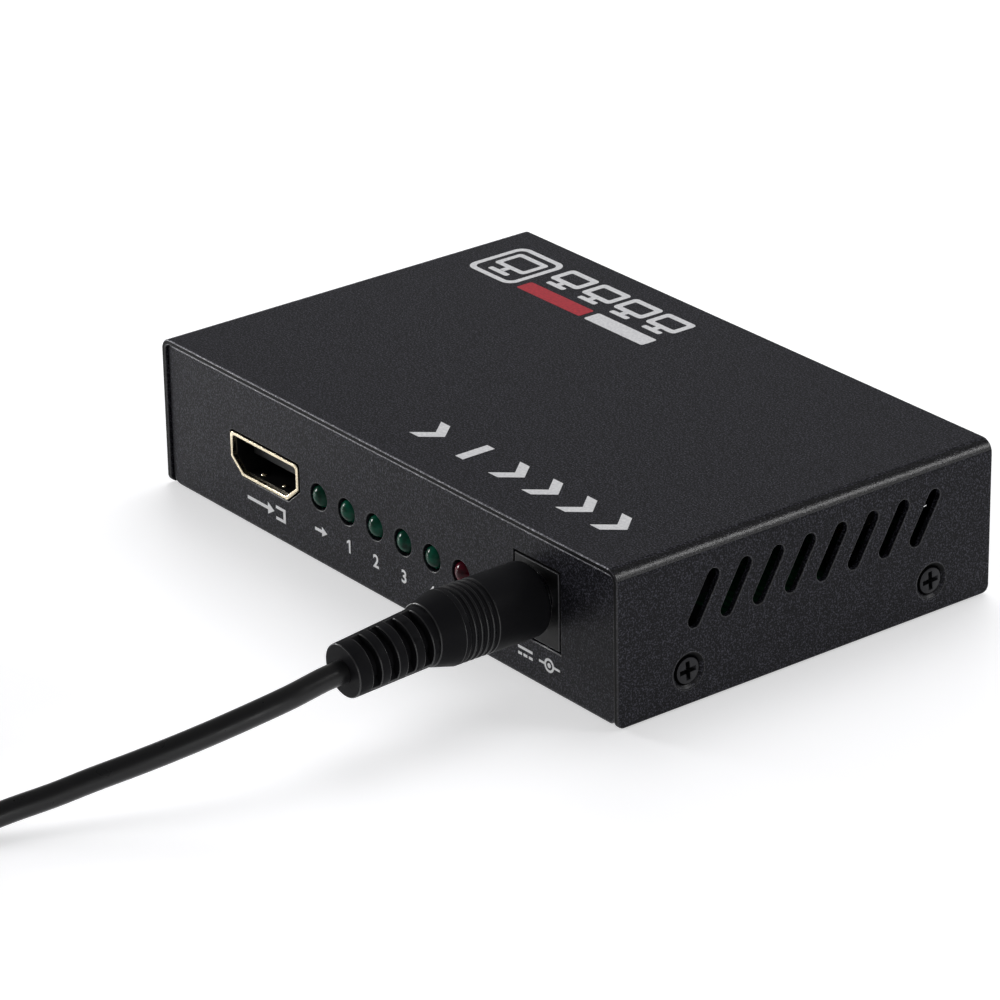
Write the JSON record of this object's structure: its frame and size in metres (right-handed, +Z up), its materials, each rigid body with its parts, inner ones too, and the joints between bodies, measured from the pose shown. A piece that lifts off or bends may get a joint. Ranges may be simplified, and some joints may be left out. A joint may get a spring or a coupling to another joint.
{
  "type": "video splitter",
  "caption": "Flat black folded-steel box that copies one video signal to several outputs, with lamps, side vents and a plug-in power lead.",
  "frame": {"origin": "middle of the case's underside", "axes": "+Z up, -Y out of the front panel, +X to the right seen from the front"},
  "size_m": [0.1, 0.1931, 0.0222],
  "materials": {
    "case_coat": "fine black powder coat on steel",
    "black_screw": "black plated steel",
    "steel": "plain plated steel",
    "plated_shell": "pale gold plating",
    "gold_contact": "gold plating",
    "black_plastic": "moulded black",
    "white_plastic": "moulded white",
    "green_lens": "tinted green, unlit",
    "red_lens": "tinted red, unlit",
    "board": "green solder mask",
    "can_metal": "drawn can",
    "ceramic": "fired ceramic",
    "black_vinyl": "satin soft vinyl",
    "tie_fabric": "woven black"
  },
  "bodies": {
    "case": {"base_chassis": "case_coat", "top_cover": "case_coat", "cover_screws": "black_screw", "board_standoffs": "steel", "circuit_board": "board", "board_screws": "steel", "input_port_shell": "plated_shell", "input_port_tongue": "black_plastic", "input_port_contacts": "gold_contact", "output_port_1_shell": "plated_shell", "output_port_1_tongue": "black_plastic", "output_port_1_contacts": "gold_contact", "output_port_2_shell": "plated_shell", "output_port_2_tongue": "black_plastic", "output_port_2_contacts": "gold_contact", "output_port_3_shell": "plated_shell", "output_port_3_tongue": "black_plastic", "output_port_3_contacts": "gold_contact", "output_port_4_shell": "plated_shell", "output_port_4_tongue": "black_plastic", "output_port_4_contacts": "gold_contact", "input_lamp": "green_lens", "output_lamp_1": "green_lens", "output_lamp_2": "green_lens", "output_lamp_3": "green_lens", "output_lamp_4": "green_lens", "power_lamp": "red_lens", "lamp_leads": "steel", "power_jack_housing": "black_plastic", "power_jack_pin": "steel", "power_jack_spring": "steel", "splitter_chip": "black_plastic", "voltage_regulator": "black_plastic", "filter_capacitors": "can_metal", "clock_crystal": "can_metal", "power_inductor": "black_plastic", "chip_parts": "ceramic"},
    "power_lead": {"plug_sleeve": "steel", "plug_insulator": "black_plastic", "plug_contact": "gold_contact", "plug_grip": "black_vinyl", "power_cord": "black_vinyl", "power_cord_coil": "black_vinyl", "cord_tie": "tie_fabric", "supply_plug_shell": "steel", "supply_plug_insulator": "white_plastic", "supply_plug_contacts": "gold_contact", "supply_plug_grip": "black_vinyl"}
  },
  "joints": [
    {"name": "plug_pull", "type": "slide", "parent": "case", "child": "power_lead", "axis": [0, -1, 0], "range_m": [0, 0.012]}
  ]
}
